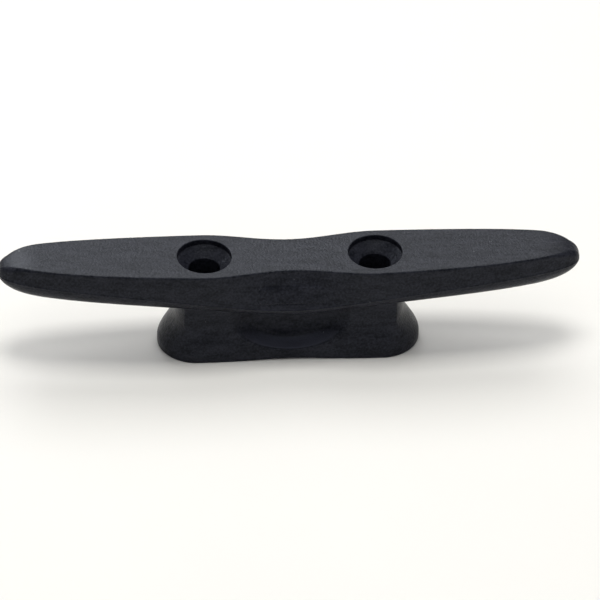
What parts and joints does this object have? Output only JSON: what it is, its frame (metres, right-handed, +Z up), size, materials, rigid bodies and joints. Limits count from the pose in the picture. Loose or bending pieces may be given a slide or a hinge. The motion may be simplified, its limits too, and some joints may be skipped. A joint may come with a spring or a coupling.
{
  "type": "mooring cleat",
  "caption": "Two-horn mooring cleat moulded in black nylon, with a waisted bar, scooped legs and countersunk screw holes through to the deck.",
  "frame": {"origin": "middle of the foot's underside, on the deck", "axes": "+X along the horns, +Y across the bar, +Z up away from the deck"},
  "size_m": [0.203, 0.0274, 0.0384],
  "materials": {
    "black_nylon": "satin glass-filled nylon with faint mottling"
  },
  "bodies": {
    "root": {"cleat_body": "black_nylon"}
  },
  "joints": []
}
